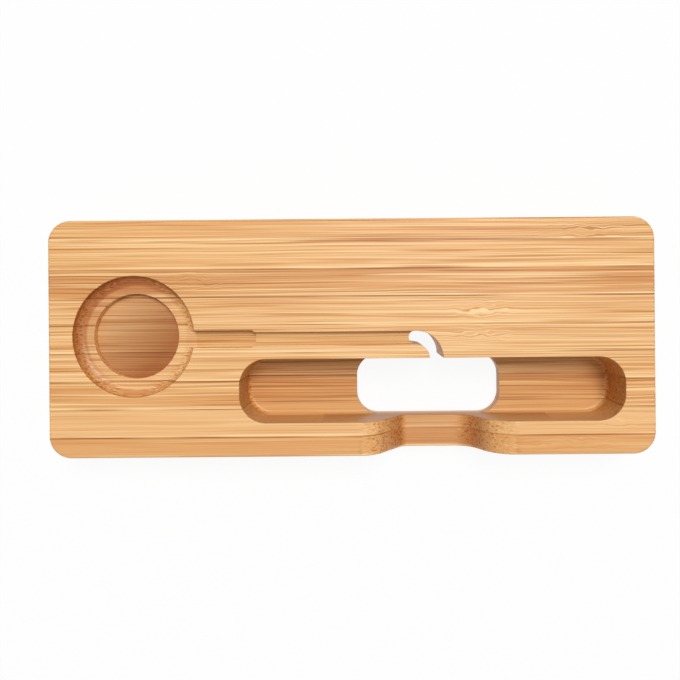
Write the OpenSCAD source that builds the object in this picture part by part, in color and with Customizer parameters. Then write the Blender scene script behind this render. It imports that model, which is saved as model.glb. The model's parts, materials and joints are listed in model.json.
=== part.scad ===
// Phone and watch charging stand: a glue-laminated bamboo block with a stepped round recess for the
// charging disc, a cable groove that turns down into a slit, a phone slot with a hole for the plug,
// and a scoop in the front wall. +X runs along the block, +Y to its back, +Z up, and the floor is z = 0.

/* [Block] */
// Length of the block along the strips
block_l = 205.5; // [196:0.5:240]
// Depth of the block, front to back
block_d = 80.5; // [78:0.5:90]
// Thickness of the block without its feet
block_h = 25; // [23:1:32]
// Radius of the block's four corners in plan
corner_r = 7.5; // [3:0.5:12]

/* [Bamboo strips] */
// Width of the narrow strip at the back
back_strip_w = 7.4; // [6:0.1:8]
// Width of the narrow strip at the front; seven whole ones share the rest
front_strip_w = 6.8; // [6:0.1:8]

/* [Charging disc recess] */
// Diameter of the recess at the top of the block
recess_dia = 41.2; // [38:0.2:44]
// Centre of the recess from the left end of the block
recess_from_end = 28.8; // [26:0.2:34]
// Centre of the recess behind the middle of the block
recess_y = 0.8; // [-1:0.1:1]
// Depth of the ledge, and radius of the cove that runs down to it
ledge_depth = 3.6; // [2.5:0.1:5]
// Diameter of the seat that holds the charging disc
seat_dia = 29; // [27:0.2:30]
// Depth of the seat below the ledge
seat_depth = 3; // [2:0.1:6]

/* [Cable groove] */
// Middle of the groove behind the middle of the block
groove_y = -0.2; // [-1:0.1:1]
// Width of the stretch that holds the cable's strain relief
relief_w = 5.8; // [5:0.1:7]
// Length of that stretch from the edge of the recess
relief_l = 20.5; // [15:0.5:30]
// Radius of the corners at its end
relief_r = 1.5; // [0.5:0.1:2.4]
// Width of the stretch that holds the bare cable
groove_w = 4.4; // [3.6:0.1:4.5]
// Depth of the stretch that holds the bare cable
groove_depth = 2.6; // [1.5:0.1:3.5]
// Width of the slit that takes the cable down through the block
slit_w = 4.6; // [4.2:0.1:5.5]
// Centre of the slit's bend, left of the middle of the phone slot
slit_offset = 5.5; // [3:0.1:9]

/* [Phone slot] */
// Length of the slot
slot_l = 130.8; // [110:0.2:136]
// Width of the slot
slot_w = 21.7; // [18:0.1:22]
// Depth of the slot
slot_depth = 18.5; // [14:0.5:19]
// Radius of the slot's corners
slot_r = 9; // [4:0.5:9]
// Wall between the slot and the right end of the block
end_wall = 10.2; // [7:0.2:14]
// Wall between the slot and the front of the block
front_wall = 11.4; // [9:0.2:12]
// Length of the hole through the slot's floor
hole_l = 51.8; // [44:0.2:60]
// Radius of the hole's corners
hole_r = 7.7; // [3:0.1:8.5]

/* [Scoop] */
// Depth of the scoop in the front wall
scoop_depth = 16.4; // [14:0.1:17]
// Width of the scoop's floor between the corners of its flanks
scoop_floor = 23.4; // [18:0.2:28]
// Middle of the scoop's floor, right of the middle of the slot
scoop_offset = 2.2; // [0:0.1:4]
// Slope of the left flank in degrees
left_slope = 57; // [50:1:65]
// Radius of the left shoulder
left_shoulder_r = 10.5; // [4:0.5:12]
// Radius at the foot of the left flank
left_foot_r = 4; // [2:0.5:6]
// Slope of the right flank in degrees
right_slope = 65; // [55:1:70]
// Radius of the right shoulder
right_shoulder_r = 14; // [6:0.5:14.5]
// Radius at the foot of the right flank
right_foot_r = 9; // [2:0.5:10]

/* [Underside] */
// Width of the cable channel from the hole to the back
channel_w = 9; // [7:0.5:10]
// Depth of the cable channel
channel_depth = 5; // [4:0.5:6.5]
// Diameter of each foot
foot_dia = 10; // [8:0.5:14]
// Thickness of each foot
foot_h = 1.5; // [1:0.1:3]
// Centre of each foot from the block's end
foot_inset_x = 13; // [10:0.5:20]
// Centre of each foot from the block's front or back
foot_inset_y = 12; // [9:0.5:18]

/* [Hidden] */
$fn = 96;
// Overlap that lets a cut run clear of the face it opens
cut = 1;
// Whole strips between the two narrow ones
whole_strips = 7;

top_z = foot_h + block_h;
back_seam = block_d / 2 - back_strip_w;
front_seam = front_strip_w - block_d / 2;
strip_w = (back_seam - front_seam) / whole_strips;

recess_x = -block_l / 2 + recess_from_end;
recess_r = recess_dia / 2;
seat_r = seat_dia / 2;
relief_end_x = recess_x + recess_r + relief_l;

slot_x = block_l / 2 - end_wall - slot_l / 2;
slot_front_y = -block_d / 2 + front_wall;
slot_back_y = slot_front_y + slot_w;
slot_y = (slot_front_y + slot_back_y) / 2;

slit_x = slot_x - slit_offset;
slit_mid_r = groove_y - slot_back_y;
slit_tail_x = slit_x + slit_mid_r;

// The channel's left side is flush with the left side of the slit's head.
channel_x = slit_x - slit_w / 2 + channel_w / 2;

// Rectangle with round corners, centred on the origin
module rounded_rect(length, width, radius) {
    square([length - 2 * radius, width], center = true);
    square([length, width - 2 * radius], center = true);
    for (sx = [-1, 1], sy = [-1, 1])
        translate([sx * (length / 2 - radius), sy * (width / 2 - radius)]) circle(r = radius);
}

module blank() {
    translate([0, 0, foot_h])
        linear_extrude(height = block_h) rounded_rect(block_l, block_d, corner_r);
}

// Half outline of the round recess: the cove at the rim, the flat ledge and the deeper seat
module recess_outline() {
    difference() {
        translate([0, -ledge_depth]) square([recess_r, ledge_depth + cut]);
        difference() {
            translate([recess_r - ledge_depth, -ledge_depth]) square(ledge_depth);
            translate([recess_r - ledge_depth, 0]) circle(r = ledge_depth);
        }
    }
    translate([0, -ledge_depth - seat_depth]) square([seat_r, ledge_depth + seat_depth]);
}

module recess_cut() {
    translate([recess_x, recess_y, top_z]) rotate_extrude() recess_outline();
}

// Both stretches of the groove; the wide one is as deep as the ledge that it opens onto.
module groove_cut() {
    translate([recess_x, groove_y - groove_w / 2, top_z - groove_depth])
        cube([slit_x - recess_x, groove_w, groove_depth + cut]);
    translate([0, 0, top_z - ledge_depth]) linear_extrude(height = ledge_depth + cut) {
        translate([recess_x + seat_r + cut, groove_y - relief_w / 2])
            square([relief_end_x - relief_r - recess_x - seat_r - cut, relief_w]);
        translate([relief_end_x - relief_l, groove_y - relief_w / 2 + relief_r])
            square([relief_l, relief_w - 2 * relief_r]);
        for (side = [-1, 1])
            translate([relief_end_x - relief_r, groove_y + side * (relief_w / 2 - relief_r)])
                circle(r = relief_r);
    }
}

// Slit from the groove's end round a quarter turn into the slot
module slit_cut() {
    translate([slit_x, slot_back_y, foot_h - cut]) linear_extrude(height = block_h + 2 * cut) {
        intersection() {
            difference() {
                circle(r = slit_mid_r + slit_w / 2);
                circle(r = slit_mid_r - slit_w / 2);
            }
            square(slit_mid_r + slit_w);
        }
        translate([0, slit_mid_r]) circle(r = slit_w / 2);
        translate([slit_mid_r - slit_w / 2, -cut]) square([slit_w, 2 * cut]);
    }
}

module slot_cut() {
    translate([slot_x, slot_y, top_z - slot_depth])
        linear_extrude(height = slot_depth + cut) rounded_rect(slot_l, slot_w, slot_r);
    translate([slot_x, slot_y, foot_h - cut])
        linear_extrude(height = block_h) rounded_rect(hole_l, slot_w, hole_r);
}

// Points of one flank of the scoop, from the top face down to the floor, measured from the middle of the
// floor: side is -1 for the left flank and 1 for the right one
function flank_points(side, slope, shoulder_r, foot_r) =
    let (
        run = scoop_floor / 2 + scoop_depth / tan(slope),
        shoulder_t = shoulder_r * tan(slope / 2),
        foot_t = foot_r * tan(slope / 2)
    ) [
        [side * (run + shoulder_t), scoop_depth],
        [side * (run - shoulder_t * cos(slope)), scoop_depth - shoulder_t * sin(slope)],
        [side * (scoop_floor / 2 + foot_t * cos(slope)), foot_t * sin(slope)],
        [side * (scoop_floor / 2 - foot_t), 0]
    ];

module scoop_outline() {
    left = flank_points(-1, left_slope, left_shoulder_r, left_foot_r);
    right = flank_points(1, right_slope, right_shoulder_r, right_foot_r);
    difference() {
        polygon(concat(
            left,
            [for (i = [3:-1:0]) right[i]],
            [[right[0].x, scoop_depth + cut], [left[0].x, scoop_depth + cut]]
        ));
        translate([left[0].x, scoop_depth - left_shoulder_r]) circle(r = left_shoulder_r);
        translate([right[0].x, scoop_depth - right_shoulder_r]) circle(r = right_shoulder_r);
    }
    translate([left[3].x, left_foot_r]) circle(r = left_foot_r);
    translate([right[3].x, right_foot_r]) circle(r = right_foot_r);
}

module scoop_cut() {
    translate([slot_x + scoop_offset, slot_front_y + cut, top_z - scoop_depth]) rotate([90, 0, 0])
        linear_extrude(height = front_wall + 2 * cut) scoop_outline();
}

module channel_cut() {
    translate([channel_x - channel_w / 2, slot_back_y - cut, foot_h - cut])
        cube([channel_w, block_d / 2 - slot_back_y + 2 * cut, channel_depth + cut]);
}

module carved_block() {
    difference() {
        blank();
        recess_cut();
        groove_cut();
        slit_cut();
        slot_cut();
        scoop_cut();
        channel_cut();
    }
}

// The part of the carved block between two seams; x_side keeps the stretch left (-1) or right (1)
// of the slit where the cuts sever the strip, and 0 keeps all of it.
module strip(y_low, y_high, x_side = 0) {
    x_low = x_side > 0 ? slit_tail_x : -block_l;
    x_high = x_side < 0 ? slit_tail_x : block_l;
    intersection() {
        carved_block();
        translate([x_low, y_low, 0]) cube([x_high - x_low, y_high - y_low, top_z + cut]);
    }
}

// Whole strips are counted from the back: the first lies just in front of the narrow back strip.
module whole_strip(number, x_side = 0) {
    strip(back_seam - number * strip_w, back_seam - (number - 1) * strip_w, x_side);
}

module strip_1_back() { color("#E9B176") strip(back_seam, block_d); }
module strip_2() { color("#EEB97E") whole_strip(1); }
module strip_3() { color("#E3A76C") whole_strip(2); }
module strip_4() { color("#EFBC85") whole_strip(3); }
module strip_5_middle() { color("#F1BE86") whole_strip(4); }
module strip_6_left() { color("#F4BF86") whole_strip(5, -1); }
module strip_6_right() { color("#F4BF86") whole_strip(5, 1); }
module strip_7_left() { color("#E3A76C") whole_strip(6, -1); }
module strip_7_right() { color("#E3A76C") whole_strip(6, 1); }
module strip_8() { color("#EFBC83") whole_strip(7); }
module strip_9_front() { color("#E6AB6F") strip(-block_d, front_seam); }

module foot(side_x, side_y) {
    color("#3A3A38")
        translate([
            side_x * (block_l / 2 - foot_inset_x),
            side_y * (block_d / 2 - foot_inset_y),
            0
        ]) cylinder(h = foot_h, d = foot_dia);
}

module foot_back_left() { foot(-1, 1); }
module foot_back_right() { foot(1, 1); }
module foot_front_left() { foot(-1, -1); }
module foot_front_right() { foot(1, -1); }

strip_1_back();
strip_2();
strip_3();
strip_4();
strip_5_middle();
strip_6_left();
strip_6_right();
strip_7_left();
strip_7_right();
strip_8();
strip_9_front();
foot_back_left();
foot_back_right();
foot_front_left();
foot_front_right();
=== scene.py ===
"""Looks of a bamboo phone and watch charging stand: a block glued up from nine rows of strips, with
softened edges, on four rubber feet. Lengths are in millimetres until mm() turns them into metres."""

import json
import math

import bmesh
import bpy
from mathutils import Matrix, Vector


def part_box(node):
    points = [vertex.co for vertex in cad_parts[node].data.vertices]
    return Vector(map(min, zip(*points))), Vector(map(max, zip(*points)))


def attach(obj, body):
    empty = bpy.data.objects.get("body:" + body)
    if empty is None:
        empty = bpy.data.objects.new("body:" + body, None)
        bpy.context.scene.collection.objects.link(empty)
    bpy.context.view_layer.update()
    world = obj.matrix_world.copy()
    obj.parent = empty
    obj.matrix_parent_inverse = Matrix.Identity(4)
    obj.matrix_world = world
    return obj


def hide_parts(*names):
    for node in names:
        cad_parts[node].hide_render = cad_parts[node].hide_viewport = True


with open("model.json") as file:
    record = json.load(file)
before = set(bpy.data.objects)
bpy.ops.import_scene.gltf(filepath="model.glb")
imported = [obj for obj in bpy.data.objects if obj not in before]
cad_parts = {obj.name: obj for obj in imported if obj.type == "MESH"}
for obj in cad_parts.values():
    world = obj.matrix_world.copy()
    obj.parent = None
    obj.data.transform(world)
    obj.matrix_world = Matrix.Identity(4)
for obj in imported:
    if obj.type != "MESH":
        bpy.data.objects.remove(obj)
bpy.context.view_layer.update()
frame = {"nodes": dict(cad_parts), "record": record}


def mm(value):
    """Millimetres as metres, for a number or for each number of a point."""
    if isinstance(value, (int, float)):
        return value / 1000
    return tuple(part / 1000 for part in value)


# Photograph's frame, in pixels
IMAGE_SIDE = 680
# Pixel under the camera's optical axis, which is vertical
AXIS_PIXEL = (369, 300)
# Focal length in pixels
FOCAL_PIXELS = 713
# Width of the camera's sensor, and how near it sees
SENSOR_WIDTH = 36
NEAREST_SEEN = 10
CAMERA_PLACE = (5.88, 12.6, 267.5)
# The block lies turned by this much in the photograph
CAMERA_ROLL = math.radians(-0.48)

# Block, from the frame: its box without the feet
STRIPS = sorted(name for name in frame["nodes"] if name.startswith("strip_"))
FEET = sorted(name for name in frame["nodes"] if name.startswith("foot_"))
BLOCK_LOW = Vector(min(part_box(name)[0][axis] for name in STRIPS) * 1000 for axis in range(3))
BLOCK_HIGH = Vector(max(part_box(name)[1][axis] for name in STRIPS) * 1000 for axis in range(3))
BASE_Z = BLOCK_LOW.z
TOP_Z = BLOCK_HIGH.z
CORNER_R = 7.5

# Recess for the charging disc
RECESS_FROM_END = 28.8
RECESS_Y = 0.8
RECESS_CENTRE = (BLOCK_LOW.x + RECESS_FROM_END, RECESS_Y)
RECESS_R = 20.6
LEDGE_DEPTH = 3.6
SEAT_R = 14.5
SEAT_DEPTH = 3
RECESS_STRIPS = ("strip_3", "strip_4", "strip_5_middle", "strip_6_left", "strip_7_left")

# Groove for the cable, in its wide and its narrow stretch, and the slit at its end
GROOVE_Y = -0.2
RELIEF_W = 5.8
RELIEF_L = 20.5
RELIEF_END_X = RECESS_CENTRE[0] + RECESS_R + RELIEF_L
RELIEF_R = 1.5
GROOVE_W = 4.4
GROOVE_DEPTH = 2.6
SLIT_W = 4.6

# Slot for the phone, the walls at its right end and its front, and the hole through its floor
END_WALL = 10.2
FRONT_WALL = 11.4
SLOT_L = 130.8
SLOT_X = BLOCK_HIGH.x - END_WALL - SLOT_L / 2
SLOT_FRONT_Y = BLOCK_LOW.y + FRONT_WALL
SLOT_W = 21.7
SLOT_BACK_Y = SLOT_FRONT_Y + SLOT_W
SLOT_DEPTH = 18.5
SLOT_R = 9
HOLE_L = 51.8
HOLE_R = 7.7
# The slit's bend is a quarter turn round this place on the slot's back wall, left of the slot's middle
SLIT_OFFSET = 5.5
SLIT_X = SLOT_X - SLIT_OFFSET
SLIT_MID_R = GROOVE_Y - SLOT_BACK_Y

# Scoop in the front wall, right of the slot's middle
SCOOP_OFFSET = 2.2
SCOOP_X = SLOT_X + SCOOP_OFFSET
SCOOP_DEPTH = 16.4
SCOOP_FLOOR = 23.4
SCOOP_STRIPS = ("strip_8", "strip_9_front")
# Slope, shoulder radius and foot radius of each flank
LEFT_FLANK = (math.radians(57), 10.5, 4)
RIGHT_FLANK = (math.radians(65), 14, 9)

# Channel for both cables under the block
CHANNEL_W = 9
CHANNEL_DEPTH = 5
CHANNEL_LEFT_X = SLIT_X - SLIT_W / 2

# How far the sander rounded each kind of edge
OUTER_ROUND = 0.9
RIM_ROUND = 0.25
SCOOP_ROUND = 0.45
GROOVE_ROUND = 0.2
HOLE_ROUND = 0.25
# Round that the slot's cutter leaves along the foot of its walls
SLOT_FILLET = 1.6

# How far a cut runs past the face it opens
CLEAR = 2
# How far its rounding runs past that face before it goes on straight, so that no sliver stays
OVERSHOOT = 0.002
# Steps in a rounding, in a corner, round the recess and along the recess's cove
ROUND_STEPS = 5
CORNER_STEPS = 20
CIRCLE_STEPS = 160
COVE_STEPS = 14
# Edges that turn by more than this are drawn sharp
SMOOTH_ANGLE = math.radians(32)
# How close to a seam a point counts as on it, in metres
SEAM_TOLERANCE = 1e-7


def linear(hex_colour):
    """An sRGB hex colour as the linear RGBA that shaders take."""
    channels = [int(hex_colour[i:i + 2], 16) / 255 for i in (1, 3, 5)]
    return (*(c / 12.92 if c <= 0.04045 else ((c + 0.055) / 1.055) ** 2.4 for c in channels), 1)


def add(tree, kind, inputs=None, out=0, **settings):
    """Adds a node with its settings and links, and returns one of its outputs; inputs maps a socket to a
    value or to another node's output."""
    node = tree.nodes.new(kind)
    for name, value in settings.items():
        setattr(node, name, value)
    for socket, value in (inputs or {}).items():
        if isinstance(value, bpy.types.NodeSocket):
            tree.links.new(value, node.inputs[socket])
        else:
            node.inputs[socket].default_value = value
    return node.outputs[out] if node.outputs else None


# Camera


def make_camera():
    """Camera that looks straight down from the photograph's viewpoint."""
    data = bpy.data.cameras.new("camera")
    data.sensor_width = SENSOR_WIDTH
    data.lens = FOCAL_PIXELS / IMAGE_SIDE * SENSOR_WIDTH
    data.shift_x = (IMAGE_SIDE / 2 - AXIS_PIXEL[0]) / IMAGE_SIDE
    data.shift_y = (AXIS_PIXEL[1] - IMAGE_SIDE / 2) / IMAGE_SIDE
    data.clip_start = mm(NEAREST_SEEN)
    camera = bpy.data.objects.new("camera", data)
    camera.location = mm(CAMERA_PLACE)
    camera.rotation_euler = (0, 0, CAMERA_ROLL)
    bpy.context.scene.collection.objects.link(camera)
    bpy.context.scene.camera = camera


# Outlines: each returns points anticlockwise, grown outwards by grow


def arc(centre, radius, start, end, steps):
    """Points on an arc from one angle to another, both ends included."""
    return [
        (
            centre[0] + radius * math.cos(start + (end - start) * i / steps),
            centre[1] + radius * math.sin(start + (end - start) * i / steps),
        )
        for i in range(steps + 1)
    ]


def rounded_rect(low, high, radius):
    """Outline of a rectangle with round corners, as a function of how far it is grown."""

    def outline(grow):
        """Points of the rectangle, grown."""
        points = []
        corners = (
            (high[0] - radius, high[1] - radius),
            (low[0] + radius, high[1] - radius),
            (low[0] + radius, low[1] + radius),
            (high[0] - radius, low[1] + radius),
        )
        for quarter, corner in enumerate(corners):
            start = quarter * math.pi / 2
            points += arc(corner, radius + grow, start, start + math.pi / 2, CORNER_STEPS)
        return points

    return outline


def slit_outline(grow):
    """Hook from the groove's end round a quarter turn into the slot."""
    centre = (SLIT_X, SLOT_BACK_Y)
    half = SLIT_W / 2 + grow
    tail_y = SLOT_BACK_Y - CLEAR
    return [
        (SLIT_X + SLIT_MID_R - half, tail_y),
        (SLIT_X + SLIT_MID_R + half, tail_y),
        *arc(centre, SLIT_MID_R + half, 0, math.pi / 2, 2 * CORNER_STEPS),
        *arc((SLIT_X, GROOVE_Y), half, math.pi / 2, 3 * math.pi / 2, CORNER_STEPS)[1:-1],
        *arc(centre, SLIT_MID_R - half, math.pi / 2, 0, 2 * CORNER_STEPS),
    ]


def scoop_outline(grow):
    """Outline of the scoop in X and Z: shoulders that leave the top face without an edge, then slopes."""
    floor_z = TOP_Z - SCOOP_DEPTH
    right = flank(RIGHT_FLANK, 1, floor_z, grow)
    left = flank(LEFT_FLANK, -1, floor_z, grow)
    return [*left, *right[::-1], (right[0][0], TOP_Z + CLEAR), (left[0][0], TOP_Z + CLEAR)]


def flank(shape, side, floor_z, grow):
    """Points of one flank from the top face to the floor."""
    slope, shoulder_r, foot_r = shape
    run = SCOOP_FLOOR / 2 + SCOOP_DEPTH / math.tan(slope)
    shoulder_x = run + shoulder_r * math.tan(slope / 2)
    foot_x = SCOOP_FLOOR / 2 - foot_r * math.tan(slope / 2)
    shoulder = arc((shoulder_x, TOP_Z - shoulder_r), shoulder_r - grow, math.pi / 2, math.pi / 2 + slope,
                   CORNER_STEPS)
    foot = arc((foot_x, floor_z + foot_r), foot_r + grow, slope - math.pi / 2, -math.pi / 2, CORNER_STEPS)
    return [(SCOOP_X + side * x, z) for x, z in shoulder + foot]


# Solids


def loft(name, rings):
    """Closed mesh through rings with as many points each, capped at both ends."""
    bm = bmesh.new()
    rows = [[bm.verts.new(mm(point)) for point in ring] for ring in rings]
    count = len(rows[0])
    for low, high in zip(rows, rows[1:]):
        for i in range(count):
            bm.faces.new((low[i], low[(i + 1) % count], high[(i + 1) % count], high[i]))
    bm.faces.new(rows[0][::-1])
    bm.faces.new(rows[-1])
    bmesh.ops.recalc_face_normals(bm, faces=bm.faces)
    mesh = bpy.data.meshes.new(name)
    bm.to_mesh(mesh)
    bm.free()
    made = bpy.data.objects.new(name, mesh)
    bpy.context.scene.collection.objects.link(made)
    return made


def quarter_turn():
    """Angles from nothing to a right angle, in the steps of a rounding."""
    return [math.pi / 2 * i / ROUND_STEPS for i in range(ROUND_STEPS + 1)]


def rounding(radius):
    """Steps of an edge rounding: how far the wall has turned outwards, and how far below the face it is."""
    return [
        (radius * (1 - math.cos(turn)), radius * (1 - math.sin(turn)) - OVERSHOOT * turn)
        for turn in quarter_turn()
    ]


def cutter(name, outline, low_z, high_z, round_low=None, round_high=None, fillet=0):
    """Upright cutter whose ends flare out where they round the edge of the face that they open, or whose
    low end is drawn in by the fillet that it leaves round its floor."""
    rings = []
    if round_low:
        flare = [(grow, low_z + below) for grow, below in rounding(round_low)][::-1]
        rings += [(flare[0][0], low_z - CLEAR), *flare]
    elif fillet:
        rings += [
            (fillet * (math.sin(turn) - 1), low_z + fillet * (1 - math.cos(turn)))
            for turn in quarter_turn()
        ]
    else:
        rings.append((0, low_z))
    if round_high:
        flare = [(grow, high_z - below) for grow, below in rounding(round_high)]
        rings += [*flare, (flare[-1][0], high_z + CLEAR)]
    else:
        rings.append((0, high_z))
    return loft(name, [[(x, y, z) for x, y in outline(grow)] for grow, z in rings])


def blank():
    """Uncut block with its outer edges rounded."""
    outline = rounded_rect(BLOCK_LOW, BLOCK_HIGH, CORNER_R)
    steps = [
        (OUTER_ROUND * (1 - math.cos(turn)), OUTER_ROUND * (1 - math.sin(turn))) for turn in quarter_turn()
    ]
    rings = [(-inward, BASE_Z + below) for inward, below in steps[::-1]]
    rings += [(-inward, TOP_Z - below) for inward, below in steps]
    return loft("blank", [[(x, y, z) for x, y in outline(grow)] for grow, z in rings])


def recess_cutter():
    """Turned cutter: seat, flat ledge, cove and rounded rim."""
    ledge_z = TOP_Z - LEDGE_DEPTH
    profile = [(SEAT_R, ledge_z - SEAT_DEPTH)]
    profile += [(SEAT_R + grow, ledge_z - below) for grow, below in rounding(HOLE_ROUND)[:-1]]
    profile.append((SEAT_R + HOLE_ROUND, ledge_z))
    cove_r = LEDGE_DEPTH - RIM_ROUND
    cove_centre = (RECESS_R - cove_r, ledge_z + cove_r)
    profile += arc(cove_centre, cove_r, -math.pi / 2, 0, COVE_STEPS)
    profile += [(RECESS_R + grow, TOP_Z - below) for grow, below in rounding(RIM_ROUND)[1:]]
    profile.append((RECESS_R + RIM_ROUND, TOP_Z + CLEAR))
    rings = [
        [(*point, z) for point in arc(RECESS_CENTRE, radius, 0, 2 * math.pi, CIRCLE_STEPS)[:-1]]
        for radius, z in profile
    ]
    return loft("recess_cut", rings)


def groove_cutters():
    """Narrow stretch of the groove, and the wide one that opens onto the ledge."""
    narrow = rounded_rect(
        (RECESS_CENTRE[0], GROOVE_Y - GROOVE_W / 2), (SLIT_X, GROOVE_Y + GROOVE_W / 2), GROOVE_ROUND
    )
    wide = rounded_rect(
        (RECESS_CENTRE[0] + SEAT_R + CLEAR, GROOVE_Y - RELIEF_W / 2),
        (RELIEF_END_X, GROOVE_Y + RELIEF_W / 2),
        RELIEF_R,
    )
    return [
        cutter("groove_cut", narrow, TOP_Z - GROOVE_DEPTH, TOP_Z, round_high=GROOVE_ROUND),
        cutter("relief_cut", wide, TOP_Z - LEDGE_DEPTH, TOP_Z, round_high=GROOVE_ROUND),
    ]


def slot_cutters():
    """Slot, and the hole through its floor, which is as wide as the slot."""
    slot = rounded_rect(
        (SLOT_X - SLOT_L / 2, SLOT_FRONT_Y), (SLOT_X + SLOT_L / 2, SLOT_BACK_Y), SLOT_R
    )
    hole = rounded_rect(
        (SLOT_X - HOLE_L / 2, SLOT_FRONT_Y), (SLOT_X + HOLE_L / 2, SLOT_BACK_Y), HOLE_R
    )
    floor_z = TOP_Z - SLOT_DEPTH
    return [
        cutter("slot_cut", slot, floor_z, TOP_Z, round_high=RIM_ROUND, fillet=SLOT_FILLET),
        cutter("hole_cut", hole, BASE_Z, TOP_Z - SLOT_DEPTH / 2, round_low=HOLE_ROUND),
    ]


def scoop_cutter():
    """Scoop through the front wall, flared where it meets the front face and the slot."""
    flare = rounding(SCOOP_ROUND)
    stations = [(flare[-1][0], BLOCK_LOW.y - CLEAR)]
    stations += [(grow, BLOCK_LOW.y + below) for grow, below in flare[::-1]]
    stations += [(grow, SLOT_FRONT_Y - below) for grow, below in flare]
    stations.append((flare[-1][0], SLOT_FRONT_Y + CLEAR))
    return loft("scoop_cut", [[(x, y, z) for x, z in scoop_outline(grow)] for grow, y in stations])


def channel_cutter():
    """Cable channel in the underside, from the slit to the back."""
    low = (CHANNEL_LEFT_X, SLOT_BACK_Y - CLEAR)
    high = (CHANNEL_LEFT_X + CHANNEL_W, BLOCK_HIGH.y + CLEAR)
    outline = rounded_rect(low, high, GROOVE_ROUND)
    return cutter("channel_cut", outline, BASE_Z, BASE_Z + CHANNEL_DEPTH, round_low=GROOVE_ROUND)


def plain_mesh(made):
    """Evaluated copy of an object's mesh, with its modifiers applied."""
    graph = bpy.context.evaluated_depsgraph_get()
    return bpy.data.meshes.new_from_object(made.evaluated_get(graph))


def carve(block, cutters):
    """Takes the cutters out of the block, one after another, and returns the carved mesh."""
    for tool in cutters:
        modifier = block.modifiers.new(tool.name, "BOOLEAN")
        modifier.operation = "DIFFERENCE"
        modifier.solver = "EXACT"
        modifier.object = tool
    mesh = plain_mesh(block)
    for made in (block, *cutters):
        bpy.data.objects.remove(made)
    return mesh


def carved_block():
    """The whole block with every cut in it, before it is parted into strips."""
    cutters = [
        recess_cutter(),
        *groove_cutters(),
        cutter("slit_cut", slit_outline, BASE_Z, TOP_Z, GROOVE_ROUND, GROOVE_ROUND),
        *slot_cutters(),
        scoop_cutter(),
        channel_cutter(),
    ]
    return carve(blank(), cutters)


def islands(bm):
    """The separate solids of a mesh, as lists of vertices."""
    left = set(bm.verts)
    while left:
        island = [left.pop()]
        for vertex in island:
            for edge in vertex.link_edges:
                other = edge.other_vert(vertex)
                if other in left:
                    left.remove(other)
                    island.append(other)
        yield island


def strip_mesh(block, node):
    """The stretch of the carved block that the node takes up: cut at its seams, without its neighbours."""
    low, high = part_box(node)
    bm = bmesh.new()
    bm.from_mesh(block)
    for y, way in ((low.y, -1), (high.y, 1)):
        everything = bm.verts[:] + bm.edges[:] + bm.faces[:]
        bmesh.ops.bisect_plane(
            bm, geom=everything, dist=SEAM_TOLERANCE, plane_co=(0, y, 0), plane_no=(0, way, 0),
            clear_outer=True,
        )
        bmesh.ops.holes_fill(bm, edges=[edge for edge in bm.edges if edge.is_boundary])
    for island in list(islands(bm)):
        middle = (min(v.co.x for v in island) + max(v.co.x for v in island)) / 2
        if not low.x < middle < high.x:
            bmesh.ops.delete(bm, geom=island, context="VERTS")
    mesh = bpy.data.meshes.new(node + "_wood")
    bm.to_mesh(mesh)
    bm.free()
    return mesh


def smooth(mesh):
    """Shades a mesh smooth, with sharp edges where it turns a corner."""
    mesh.shade_smooth()
    mesh.set_sharp_from_angle(angle=SMOOTH_ANGLE)


def finish_shading(piece):
    """Smooth across the roundings, flat on the faces."""
    smooth(piece.data)
    modifier = piece.modifiers.new("weighted_normals", "WEIGHTED_NORMAL")
    modifier.keep_sharp = True
    mesh = plain_mesh(piece)
    piece.modifiers.clear()
    piece.data = mesh


# Bamboo


# Where a culm's joint bends the grain: place along and across the block, reach each way, how strong, and
# how far along it shows as a pale fleck
KNUCKLES = {
    "strip_1_back": [((78, 35.5), (24, 5), 1.0, 0)],
    "strip_3": [((-53, 19), (20, 5), 0.7, 0)],
    "strip_4": [((44.5, 9.1), (16, 5), 1.4, 2.5)],
    "strip_5_middle": [((43, 0.5), (20, 5), 0.9, 0)],
    "strip_8": [((90, -28.3), (12, 5), 1.2, 0)],
    "strip_9_front": [((75, -36), (24, 5), 1.2, 0)],
}

# Tones of the strips: pale fibres, body and dark fibres
PALE_TONES = ("#FBD39A", "#EEB77B", "#D49552")
HONEY_TONES = ("#F6C88A", "#E9AE6E", "#CD8C49")
TAN_TONES = ("#F0BD7E", "#E0A061", "#C58343")
TONES = {"bamboo_pale": PALE_TONES, "bamboo_honey": HONEY_TONES, "bamboo_tan": TAN_TONES}
# Where these lie between the darkest and the palest of the figure
PALE_AT = 0.9
BODY_AT = 0.5
DARK_AT = 0.12

# Colour that single pale fibres turn to, and the painted highlight along a seam
PALE_FIBRE_AND_HIGHLIGHT = "#FCD79E"
# Tints that multiply the wood's colour: single dark fibres, wood cut across its fibres, glue, painted shade
# in the scoop and round the recess, painted shade on the seat's floor, and painted shade in the groove and
# the slot
DARK_THREAD = "#DCC6A8"
END_GRAIN = "#FDF6EA"
GLUE = "#C4A27C"
POCKET_SHADE_TINT = "#C0956A"
SEAT_SHADE_TINT = "#B08859"
RECESS_SHADE_TINT = "#E9E2CF"

# Size of each pattern's features along X, Y and Z: growth bands, bands of fibres, the finest lines that the
# picture shows, single dark and pale fibres, and fibre bundles
BROAD_BANDS = (240, 2.4, 2.4)
MIDDLE_BANDS = (130, 0.85, 0.85)
FINE_LINES = (55, 0.34, 0.34)
DARK_FIBRES = (110, 0.42, 0.42)
PALE_FIBRES = (90, 0.5, 0.5)
BUNDLES = (45, 1.2, 1.2)
DARK_FIBRE_SEED = 3.7
PALE_FIBRE_SEED = 9.1
# The slow bend of the grain and how far it goes, and the ripple at a joint of the culm
BEND = (60, 14, 14)
BEND_REACH = 1.6
RIPPLE = (6, 2.2, 6)
RIPPLE_REACH = 3.5
# Stretches of a seam that show and that don't
SEAM_PATCHES = (40, 6, 30)

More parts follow.
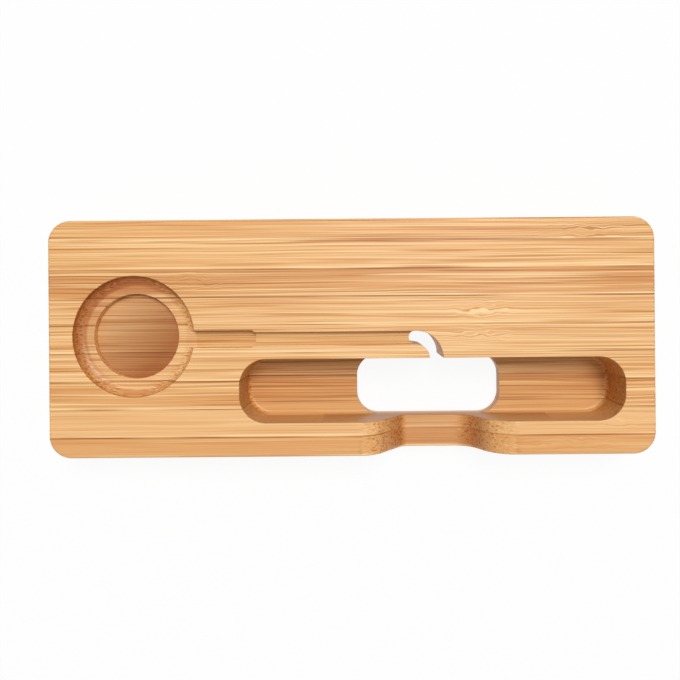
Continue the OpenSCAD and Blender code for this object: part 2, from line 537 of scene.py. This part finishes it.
# Share of each pattern in the figure, where 0 is the body of the wood
BROAD_SHARE = 0.4
MIDDLE_SHARE = 0.4
FINE_SHARE = 1.35
BUNDLE_SHARE = -0.45
FIGURE_START = 0.08
# How clear the figure is on most strips, and on the calmer ones
CLEAR_FIGURE = 0.95
CALM = {"strip_8": 0.4, "strip_9_front": 0.4}
# How strong the single pale fibres are beside the dark ones
PALE_FIBRE_SHARE = 0.8
# Strips that are a shade darker or paler than their tones
SHADE = {"strip_1_back": -0.1, "strip_3": -0.15, "strip_4": -0.08, "strip_9_front": 0.08}
# Relief that the fibres keep under the lacquer
FIBRE_RELIEF = 0.05
# Width of the pale fleck at a joint of the culm
FLECK_WIDTH = 0.9

# Glue line: its half width, and the seed of its patches
GLUE_HALF = 0.32
GLUE_SEED = 1
# Painted highlight just behind a seam: how far behind it, its half width, and the seed of its patches
HIGHLIGHT_BEHIND = 0.55
HIGHLIGHT_HALF = 0.4
HIGHLIGHT_SEED = 5

# Painted shade in the scoop, darker towards its floor: its share on the floor, what a steep wall adds, and
# the heights above the floor between which it fades out
SCOOP_FLOOR_SHADE = 0.42
SCOOP_WALL_SHADE = 0.33
SCOOP_FADE = (3, 14)
# Direction towards the front right, in which the recess's painted shade on the seat grows and on the cove
# fades
FORWARD = (0.7, -0.7, 0)
SEAT_SIDES = (-14, 10)
SEAT_SHARES = (0.34, 1)
COVE_SIDES = (6, -12)
COVE_SHARES = (0.25, 1)
# Painted shade on the ledge and on the cove, before that
LEDGE_SHADE = 0.4
COVE_SHADE = 0.9

# Opposite corners of the boxes that hold the walls and floors of the groove, of the slot and of the scoop,
# where shade is painted
GROOVE_BOX = (
    (RECESS_CENTRE[0] + RECESS_R, GROOVE_Y - 3, TOP_Z - 5),
    (SLIT_X, GROOVE_Y + 3, TOP_Z - 0.3),
)
SLOT_BOX = (
    (SLOT_X - SLOT_L / 2 - 0.3, SLOT_FRONT_Y - 0.3, BASE_Z + 3),
    (SLOT_X + SLOT_L / 2 + 0.3, SLOT_BACK_Y + 0.3, TOP_Z - 0.3),
)
SCOOP_BOX = (
    (SCOOP_X - 40, BLOCK_LOW.y - 1, BASE_Z + 5),
    (SCOOP_X + 40, SLOT_FRONT_Y + 0.3, TOP_Z - 1),
)

# The Mix node's sockets for colours
MIX_A = 6
MIX_B = 7
MIX_OUT = 2


def bamboo(node, seed, tones):
    """Caramel bamboo, split, planed, glued, milled and sanded, then given a thin satin lacquer.
    Fibre bundles run along the strip as fine lines and show as dots where a cut crosses them."""
    material = bpy.data.materials.new("bamboo_sanded_lacquered_" + node)
    material.use_nodes = True
    tree = material.node_tree
    tree.nodes.clear()
    known = add(tree, "ShaderNodeTexCoord").node.outputs
    place = add(tree, "ShaderNodeVectorMath", {0: known["Object"], 1: (1000,) * 3}, operation="MULTIPLY")
    grain = grain_place(tree, place, seed, KNUCKLES.get(node, []))
    end = end_grain(tree, known["Normal"])

    broad = streaks(tree, grain, BROAD_BANDS, 2)
    middle = streaks(tree, grain, MIDDLE_BANDS, 2)
    fine = streaks(tree, grain, FINE_LINES, 1)
    bundles = fibre_bundles(tree, grain, broad, end)
    # The figure is calm on some strips, but a cut across the fibres shows them clearly on every strip
    calm = CALM.get(node, CLEAR_FIGURE)
    clear = weighed(tree, calm, [(end, 1 - calm)])
    figure = weighed(tree, FIGURE_START, [
        (broad, BROAD_SHARE), (middle, MIDDLE_SHARE), (fine, FINE_SHARE), (bundles, BUNDLE_SHARE),
    ])
    tone = add(tree, "ShaderNodeMath", {0: figure, 1: clear, 2: BODY_AT + SHADE.get(node, 0)},
               operation="MULTIPLY_ADD")
    colour = add(tree, "ShaderNodeValToRGB", {0: tone})
    ramp = colour.node.color_ramp
    pale, body, dark = tones
    ramp.elements[0].color = linear(dark)
    ramp.elements[0].position = DARK_AT
    ramp.elements[1].color = linear(pale)
    ramp.elements[1].position = PALE_AT
    ramp.elements.new(BODY_AT).color = linear(body)

    dark_threads = threads(tree, grain, DARK_FIBRES, DARK_FIBRE_SEED)
    dark_threads = weighed(tree, 0, [(dark_threads, calm)])
    pale_threads = threads(tree, grain, PALE_FIBRES, PALE_FIBRE_SEED)
    pale_threads = weighed(tree, 0, [(pale_threads, PALE_FIBRE_SHARE * calm)])
    flecks = knuckle_flecks(tree, place, KNUCKLES.get(node, []))
    # Pale fibres, a painted highlight just behind the front seam, and pale flecks at the culm's joints
    colour = lightened(tree, colour, [pale_threads, seam_highlight(tree, place, node, end), *flecks])
    colour = tinted(tree, colour, [
        (dark_threads, DARK_THREAD),
        (end, END_GRAIN),
        *[(line, GLUE) for line in glue_lines(tree, place, node)],
        # Painted shade on the floors and walls of the groove and the slot
        *[(inside(tree, place, *corners), RECESS_SHADE_TINT) for corners in (GROOVE_BOX, SLOT_BOX)],
        # Painted shade in the scoop and round the recess
        *painted_shades(tree, place, node, end),
    ])

    height = weighed(tree, 0, [(middle, 1), (bundles, -0.5)])
    bump = add(tree, "ShaderNodeBump", {"Strength": 0.25, "Distance": mm(FIBRE_RELIEF), "Height": height})
    # The lacquer sinks in most over the dark, open fibres, and so they shine a little less
    roughness = add(tree, "ShaderNodeMapRange", {0: tone, 1: 0.2, 2: 0.8, 3: 0.5, 4: 0.4})
    shader = add(tree, "ShaderNodeBsdfPrincipled", {
        "Base Color": colour,
        "Roughness": roughness,
        "Normal": bump,
        "Specular IOR Level": 0.35,
        "Coat Weight": 0.08,
        "Coat Roughness": 0.3,
    })
    add(tree, "ShaderNodeOutputMaterial", {"Surface": shader})
    return material


def weighed(tree, start, parts):
    """The start plus each part times its weight."""
    total = start
    for part, weight in parts:
        total = add(tree, "ShaderNodeMath", {0: part, 1: weight, 2: total}, operation="MULTIPLY_ADD")
    return total


def grain_place(tree, place, seed, knuckles):
    """The place in the strip's own grain: bent a little everywhere, and more round each knuckle."""
    bend = streaks(tree, place, BEND, 1, seed)
    parts = [(bend, BEND_REACH)]
    ripple = streaks(tree, place, RIPPLE, 1, seed + 3)
    for centre, reach, strength, _ in knuckles:
        near = nearness(tree, place, centre, reach)
        here = add(tree, "ShaderNodeMath", {0: near, 1: ripple}, operation="MULTIPLY")
        parts.append((here, RIPPLE_REACH * strength))
    offset = add(tree, "ShaderNodeCombineXYZ", {1: weighed(tree, 0, parts)})
    bent = add(tree, "ShaderNodeVectorMath", {0: place, 1: offset}, operation="ADD")
    # Each strip has a stretch of the pattern to itself
    own = (seed * 131, seed * 17.3, seed * 7.9)
    return add(tree, "ShaderNodeVectorMath", {0: bent, 1: own}, operation="ADD")


def scaled(tree, place, sizes, seed=0):
    """A place divided by the size of the pattern's features along X, Y and Z, in millimetres."""
    return add(tree, "ShaderNodeVectorMath", {0: place, 1: [1 / size for size in sizes], 2: (seed,) * 3},
               operation="MULTIPLY_ADD")


def nearness(tree, place, centre, reach):
    """1 at a point of the top view, falling to 0 at its reach along X and Y."""
    away = add(tree, "ShaderNodeVectorMath", {0: place, 1: (*centre, 0)}, operation="SUBTRACT")
    share = add(tree, "ShaderNodeVectorMath", {0: away, 1: (1 / reach[0], 1 / reach[1], 0)},
                operation="MULTIPLY")
    distance = add(tree, "ShaderNodeVectorMath", {0: share}, out="Value", operation="LENGTH")
    return add(tree, "ShaderNodeMapRange", {0: distance, 1: 0, 2: 1, 3: 1, 4: 0},
               interpolation_type="SMOOTHSTEP")


def streaks(tree, grain, sizes, detail, seed=0):
    """Noise drawn out along the grain, from about -0.5 to 0.5."""
    noise = add(tree, "ShaderNodeTexNoise", {
        "Vector": scaled(tree, grain, sizes, seed), "Scale": 1, "Detail": detail, "Roughness": 0.5,
    })
    return add(tree, "ShaderNodeMath", {0: noise, 1: 0.5}, operation="SUBTRACT")


def threads(tree, grain, sizes, seed):
    """Single long fibres: 1 along them and 0 between them."""
    return add(tree, "ShaderNodeMapRange", {0: streaks(tree, grain, sizes, 0, seed), 1: 0.1, 2: 0.2},
               interpolation_type="SMOOTHSTEP")


def fibre_bundles(tree, grain, broad, end):
    """Fibre bundles of about 0.7 mm, 1.2 mm apart: up to 1 in a bundle, more where a cut crosses them, and
    0 between them."""
    cells = add(tree, "ShaderNodeTexVoronoi", {
        "Vector": scaled(tree, grain, BUNDLES), "Scale": 1, "Randomness": 0.85,
    }, out="Distance")
    bundle = add(tree, "ShaderNodeMapRange", {0: cells, 1: 0.2, 2: 0.45, 3: 1, 4: 0},
                 interpolation_type="SMOOTHSTEP")
    strength = weighed(tree, 0.6, [(broad, -1), (end, 1.1)])
    return add(tree, "ShaderNodeMath", {0: bundle, 1: strength}, operation="MULTIPLY")


def end_grain(tree, normal):
    """1 where a face cuts across the fibres, 0 where it runs along them."""
    along = add(tree, "ShaderNodeSeparateXYZ", {0: normal})
    size = add(tree, "ShaderNodeMath", {0: along}, operation="ABSOLUTE")
    return add(tree, "ShaderNodeMapRange", {0: size, 1: 0.15, 2: 0.8}, interpolation_type="SMOOTHSTEP")


def inside(tree, place, low, high):
    """1 inside the box between two corners, 0 outside it."""
    middle = [(a + b) / 2 for a, b in zip(low, high)]
    halves = [(b - a) / 2 for a, b in zip(low, high)]
    away = add(tree, "ShaderNodeVectorMath", {0: place, 1: middle}, operation="SUBTRACT")
    share = add(tree, "ShaderNodeVectorMath", {0: away, 1: halves}, operation="DIVIDE")
    size = add(tree, "ShaderNodeVectorMath", {0: share}, operation="ABSOLUTE")
    x, y, z = add(tree, "ShaderNodeSeparateXYZ", {0: size}).node.outputs
    largest = add(tree, "ShaderNodeMath", {0: x, 1: y}, operation="MAXIMUM")
    largest = add(tree, "ShaderNodeMath", {0: largest, 1: z}, operation="MAXIMUM")
    return add(tree, "ShaderNodeMath", {0: largest, 1: 1}, operation="LESS_THAN")


def knuckle_flecks(tree, place, knuckles):
    """Pale flecks where a joint's tissue was cut open."""
    return [
        nearness(tree, place, centre, (fleck, FLECK_WIDTH)) for centre, _, _, fleck in knuckles if fleck
    ]


def lightened(tree, colour, masks):
    """The colour turned towards that of pale fibres, also used for the painted seam highlight, where each
    mask says.
    """
    for mask in masks:
        colour = add(tree, "ShaderNodeMix", {0: mask, MIX_A: colour, MIX_B: linear(PALE_FIBRE_AND_HIGHLIGHT)},
                     out=MIX_OUT, data_type="RGBA")
    return colour


def tinted(tree, colour, layers):
    """The colour multiplied by each layer's tint where its mask says."""
    for mask, tint in layers:
        colour = add(tree, "ShaderNodeMix", {0: mask, MIX_A: colour, MIX_B: linear(tint)},
                     out=MIX_OUT, data_type="RGBA", blend_type="MULTIPLY")
    return colour


def seam_line(tree, place, middle_y, half, patch_seed):
    """1 on a thin line along the block, in patches along its length."""
    across = add(tree, "ShaderNodeSeparateXYZ", {0: place}, out=1)
    away = add(tree, "ShaderNodeMath", {0: across, 1: middle_y}, operation="SUBTRACT")
    size = add(tree, "ShaderNodeMath", {0: away}, operation="ABSOLUTE")
    line = add(tree, "ShaderNodeMapRange", {0: size, 1: half * 0.5, 2: half, 3: 1, 4: 0})
    patches = add(tree, "ShaderNodeMapRange", {
        0: streaks(tree, place, SEAM_PATCHES, 1, patch_seed), 1: -0.12, 2: 0.1,
    })
    return add(tree, "ShaderNodeMath", {0: line, 1: patches}, operation="MULTIPLY")


def glue_lines(tree, place, node):
    """Thin dark lines of glue at the strip's seams with its neighbours."""
    ends = [corner.y * 1000 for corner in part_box(node)]
    seams = [y for y in ends if BLOCK_LOW.y + 1 < y < BLOCK_HIGH.y - 1]
    return [seam_line(tree, place, y, GLUE_HALF, GLUE_SEED) for y in seams]


def seam_highlight(tree, place, node, end):
    """Painted highlight: a pale line just behind the strip's front seam, gone where a cut crosses the
    fibres.
    """
    line_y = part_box(node)[0].y * 1000 + HIGHLIGHT_BEHIND
    line = seam_line(tree, place, line_y, HIGHLIGHT_HALF, HIGHLIGHT_SEED)
    along = weighed(tree, 1, [(end, -1)])
    return add(tree, "ShaderNodeMath", {0: line, 1: along}, operation="MULTIPLY")


def painted_shades(tree, place, node, end):
    """Masks and tints of the painted shade in the scoop and round the recess."""
    if node in SCOOP_STRIPS:
        return [(scoop_painted_shade(tree, place, end), POCKET_SHADE_TINT)]
    if node not in RECESS_STRIPS:
        return []
    flat = add(tree, "ShaderNodeVectorMath", {0: place, 1: (*RECESS_CENTRE, 0)}, operation="SUBTRACT")
    flat = add(tree, "ShaderNodeVectorMath", {0: flat, 1: (1, 1, 0)}, operation="MULTIPLY")
    radius = add(tree, "ShaderNodeVectorMath", {0: flat}, out="Value", operation="LENGTH")
    forward = add(tree, "ShaderNodeVectorMath", {0: flat, 1: FORWARD}, out="Value",
                  operation="DOT_PRODUCT")
    height = add(tree, "ShaderNodeSeparateXYZ", {0: place}, out=2)
    seat = seat_painted_shade(tree, radius, forward, height)
    cove = cove_painted_shade(tree, radius, forward, height)
    return [(seat, SEAT_SHADE_TINT), (cove, POCKET_SHADE_TINT)]


def scoop_painted_shade(tree, place, end):
    """Painted shade on the floor of the scoop, and more so on its flanks below the shoulders."""
    floor_z = TOP_Z - SCOOP_DEPTH
    scoop = inside(tree, place, *SCOOP_BOX)
    front = add(tree, "ShaderNodeSeparateXYZ", {0: place}, out=1)
    above = add(tree, "ShaderNodeSeparateXYZ", {0: place}, out=2)
    behind_face = add(tree, "ShaderNodeMapRange", {0: front, 1: BLOCK_LOW.y + 0.3, 2: BLOCK_LOW.y + 1})
    fade_start, fade_end = SCOOP_FADE
    low = add(tree, "ShaderNodeMapRange", {
        0: above, 1: floor_z + fade_start, 2: floor_z + fade_end, 3: 1, 4: 0,
    })
    strength = weighed(tree, SCOOP_FLOOR_SHADE, [(end, SCOOP_WALL_SHADE)])
    area = add(tree, "ShaderNodeMath", {0: scoop, 1: behind_face}, operation="MULTIPLY")
    area = add(tree, "ShaderNodeMath", {0: area, 1: low}, operation="MULTIPLY")
    return add(tree, "ShaderNodeMath", {0: area, 1: strength}, operation="MULTIPLY")


def seat_painted_shade(tree, radius, forward, height):
    """Painted shade on the floor of the seat, growing towards the front right."""
    floor_z = TOP_Z - LEDGE_DEPTH - SEAT_DEPTH
    low = add(tree, "ShaderNodeMath", {0: height, 1: floor_z + 0.3}, operation="LESS_THAN")
    near = add(tree, "ShaderNodeMath", {0: radius, 1: SEAT_R + 0.2}, operation="LESS_THAN")
    side = add(tree, "ShaderNodeMapRange", {
        0: forward, 1: SEAT_SIDES[0], 2: SEAT_SIDES[1], 3: SEAT_SHARES[0], 4: SEAT_SHARES[1],
    })
    area = add(tree, "ShaderNodeMath", {0: low, 1: near}, operation="MULTIPLY")
    return add(tree, "ShaderNodeMath", {0: area, 1: side}, operation="MULTIPLY")


def cove_painted_shade(tree, radius, forward, height):
    """Painted shade on the ledge, and more so on the cove under the recess's rim, at the back and at the
    left.
    """
    foot_r = RECESS_R - LEDGE_DEPTH
    far = add(tree, "ShaderNodeMapRange", {
        0: radius, 1: foot_r - 0.3, 2: foot_r + 0.5, 3: LEDGE_SHADE, 4: COVE_SHADE,
    })
    outside = add(tree, "ShaderNodeMath", {0: radius, 1: SEAT_R}, operation="GREATER_THAN")
    near = add(tree, "ShaderNodeMath", {0: radius, 1: RECESS_R + 0.1}, operation="LESS_THAN")
    below = add(tree, "ShaderNodeMapRange", {0: height, 1: TOP_Z - 0.5, 2: TOP_Z - 0.2, 3: 1, 4: 0})
    side = add(tree, "ShaderNodeMapRange", {
        0: forward, 1: COVE_SIDES[0], 2: COVE_SIDES[1], 3: COVE_SHARES[0], 4: COVE_SHARES[1],
    })
    area = add(tree, "ShaderNodeMath", {0: far, 1: near}, operation="MULTIPLY")
    area = add(tree, "ShaderNodeMath", {0: area, 1: outside}, operation="MULTIPLY")
    area = add(tree, "ShaderNodeMath", {0: area, 1: below}, operation="MULTIPLY")
    return add(tree, "ShaderNodeMath", {0: area, 1: side}, operation="MULTIPLY")


def strip_piece(block, node, seed, slot_name):
    """One strip with its bamboo, in place of its node."""
    piece = bpy.data.objects.new(node + "_wood", strip_mesh(block, node))
    bpy.context.scene.collection.objects.link(piece)
    finish_shading(piece)
    piece.data.materials.clear()
    piece.data.materials.append(bamboo(node, seed, TONES[slot_name]))
    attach(piece, "root")
    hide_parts(node)


# Rubber feet


# Round that the mould gives a foot's lower edge
FOOT_FILLET = 0.6
# Steps round a foot and up its side
FOOT_STEPS = 64
FOOT_RINGS = 24
# Tones of the rubber, and the size and relief of the grit that the mould leaves in it
RUBBER_DARK = "#2C2C2B"
RUBBER_PALE = "#464644"
GRIT = 0.5
GRIT_RELIEF = 0.05


def rubber():
    """Charcoal rubber, moulded: matt, with a fine grit from the mould."""
    material = bpy.data.materials.new("rubber_moulded_charcoal")
    material.use_nodes = True
    tree = material.node_tree
    tree.nodes.clear()
    place = add(tree, "ShaderNodeTexCoord", out="Object")
    grit = add(tree, "ShaderNodeTexNoise", {"Vector": place, "Scale": 1 / mm(GRIT), "Detail": 2})
    colour = add(tree, "ShaderNodeValToRGB", {0: grit})
    colour.node.color_ramp.elements[0].color = linear(RUBBER_DARK)
    colour.node.color_ramp.elements[1].color = linear(RUBBER_PALE)
    bump = add(tree, "ShaderNodeBump", {"Strength": 0.4, "Distance": mm(GRIT_RELIEF), "Height": grit})
    shader = add(tree, "ShaderNodeBsdfPrincipled", {"Base Color": colour, "Normal": bump, "Roughness": 0.8})
    add(tree, "ShaderNodeOutputMaterial", {"Surface": shader})
    return material


def foot_tree(material):
    """Foot as a disc whose side is drawn in towards the underside along the fillet's quarter circle."""
    tree = bpy.data.node_groups.new("rubber_foot", "GeometryNodeTree")
    for name in ("Radius", "Height", "Fillet"):
        tree.interface.new_socket(name, in_out="INPUT", socket_type="NodeSocketFloat")
    tree.interface.new_socket("Middle", in_out="INPUT", socket_type="NodeSocketVector")
    tree.interface.new_socket("Foot", in_out="OUTPUT", socket_type="NodeSocketGeometry")
    given = add(tree, "NodeGroupInput").node.outputs
    disc = add(tree, "GeometryNodeMeshCylinder", {
        "Vertices": FOOT_STEPS, "Side Segments": FOOT_RINGS,
        "Radius": given["Radius"], "Depth": given["Height"],
    })
    place = add(tree, "GeometryNodeInputPosition")
    height = add(tree, "ShaderNodeSeparateXYZ", {0: place}, out=2)
    half = add(tree, "ShaderNodeMath", {0: given["Height"], 1: 0.5}, operation="MULTIPLY")
    above = add(tree, "ShaderNodeMath", {0: height, 1: half}, operation="ADD")
    # How far into the fillet a ring lies: 1 at the underside and 0 from the fillet's top upwards
    left = add(tree, "ShaderNodeMath", {0: given["Fillet"], 1: above}, operation="SUBTRACT")
    into = add(tree, "ShaderNodeMath", {0: left, 1: given["Fillet"]}, operation="DIVIDE", use_clamp=True)
    square = add(tree, "ShaderNodeMath", {0: into, 1: into}, operation="MULTIPLY")
    rest = add(tree, "ShaderNodeMath", {0: 1, 1: square}, operation="SUBTRACT", use_clamp=True)
    depth = add(tree, "ShaderNodeMath", {0: rest}, operation="SQRT")
    inward = add(tree, "ShaderNodeMath", {0: 1, 1: depth}, operation="SUBTRACT")
    inward = add(tree, "ShaderNodeMath", {0: inward, 1: given["Fillet"]}, operation="MULTIPLY")
    share = add(tree, "ShaderNodeMath", {0: inward, 1: given["Radius"]}, operation="DIVIDE")
    factor = add(tree, "ShaderNodeMath", {0: 1, 1: share}, operation="SUBTRACT")
    factors = add(tree, "ShaderNodeCombineXYZ", {0: factor, 1: factor, 2: 1})
    drawn_in = add(tree, "ShaderNodeVectorMath", {0: place, 1: factors}, operation="MULTIPLY")
    rounded = add(tree, "GeometryNodeSetPosition", {"Geometry": disc, "Position": drawn_in})
    seated = add(tree, "GeometryNodeTransform", {"Geometry": rounded, "Translation": given["Middle"]})
    real = add(tree, "GeometryNodeRealizeInstances", {0: seated})
    dressed = add(tree, "GeometryNodeSetMaterial", {"Geometry": real, "Material": material})
    add(tree, "NodeGroupOutput", {0: dressed})
    return tree


def foot_piece(node, tree):
    """One foot, inside its node's box."""
    low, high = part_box(node)
    piece = bpy.data.objects.new(node + "_rubber", bpy.data.meshes.new(node + "_rubber"))
    bpy.context.scene.collection.objects.link(piece)
    modifier = piece.modifiers.new("foot", "NODES")
    modifier.node_group = tree
    given = {
        "Radius": (high.x - low.x) / 2,
        "Height": high.z - low.z,
        "Fillet": mm(FOOT_FILLET),
        "Middle": (low + high) / 2,
    }
    for socket in tree.interface.items_tree:
        if socket.in_out == "INPUT":
            modifier[socket.identifier] = given[socket.name]
    mesh = plain_mesh(piece)
    piece.modifiers.clear()
    piece.data = mesh
    smooth(mesh)
    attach(piece, "root")
    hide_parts(node)


# Surroundings


WHITE = "#FFFFFF"
PAPER = "#F4F4F4"
# Side of the floor, in metres
FLOOR_SIDE = 12


def background_ray(tree):
    """1 for rays that should see the white surroundings: the camera's, and those in gloss and glass."""
    rays = add(tree, "ShaderNodeLightPath").node.outputs
    seen = add(tree, "ShaderNodeMath", {0: rays["Is Camera Ray"], 1: rays["Is Glossy Ray"]},
               operation="MAXIMUM")
    return add(tree, "ShaderNodeMath", {0: seen, 1: rays["Is Transmission Ray"]}, operation="MAXIMUM")


def make_world(ambient):
    """Plain soft light from all round, with white to see behind the object."""
    world = bpy.data.worlds.new("studio")
    bpy.context.scene.world = world
    world.use_nodes = True
    tree = world.node_tree
    tree.nodes.clear()
    light = add(tree, "ShaderNodeBackground", {"Color": linear(WHITE), "Strength": ambient})
    seen = add(tree, "ShaderNodeBackground", {"Color": linear(WHITE), "Strength": 1})
    mix = add(tree, "ShaderNodeMixShader", {0: background_ray(tree), 1: light, 2: seen})
    add(tree, "ShaderNodeOutputWorld", {"Surface": mix})


def make_floor(whiteness):
    """Matt white paper sweep that shows nearly white and keeps a soft shadow."""
    material = bpy.data.materials.new("paper_matt_white")
    material.use_nodes = True
    tree = material.node_tree
    tree.nodes.clear()
    paper = add(tree, "ShaderNodeBsdfDiffuse", {"Color": linear(PAPER)})
    white = add(tree, "ShaderNodeEmission", {"Color": linear(WHITE), "Strength": 1})
    share = add(tree, "ShaderNodeMath", {0: background_ray(tree), 1: whiteness}, operation="MULTIPLY")
    mix = add(tree, "ShaderNodeMixShader", {0: share, 1: paper, 2: white})
    add(tree, "ShaderNodeOutputMaterial", {"Surface": mix})
    bpy.ops.mesh.primitive_plane_add(size=FLOOR_SIDE)
    floor = bpy.context.object
    floor.name = "floor"
    floor.data.materials.append(material)


def make_lamp(name, place, aim, size, power):
    """Square soft box at a place, turned towards the aim."""
    data = bpy.data.lights.new(name, "AREA")
    data.size = mm(size)
    data.energy = power
    lamp = bpy.data.objects.new(name, data)
    lamp.location = mm(place)
    lamp.rotation_euler = (Vector(mm(aim)) - lamp.location).to_track_quat("-Z", "Y").to_euler()
    bpy.context.scene.collection.objects.link(lamp)


def make_studio():
    """World, floor and one large soft box, above the back of the table."""
    make_world(ambient=0.34)
    make_floor(whiteness=0.92)
    make_lamp("key", place=(270, 740, 2250), aim=(0, 0, 0), size=800, power=39)
    bpy.context.scene.view_settings.view_transform = "Standard"


make_camera()
slots = {part["node"]: part["material_slot"] for part in frame["record"]["subparts"]}
whole = carved_block()
for number, strip in enumerate(STRIPS):
    strip_piece(whole, strip, number + 1, slots[strip])
bpy.data.meshes.remove(whole)
rubber_foot = foot_tree(rubber())
for foot in FEET:
    foot_piece(foot, rubber_foot)
make_studio()
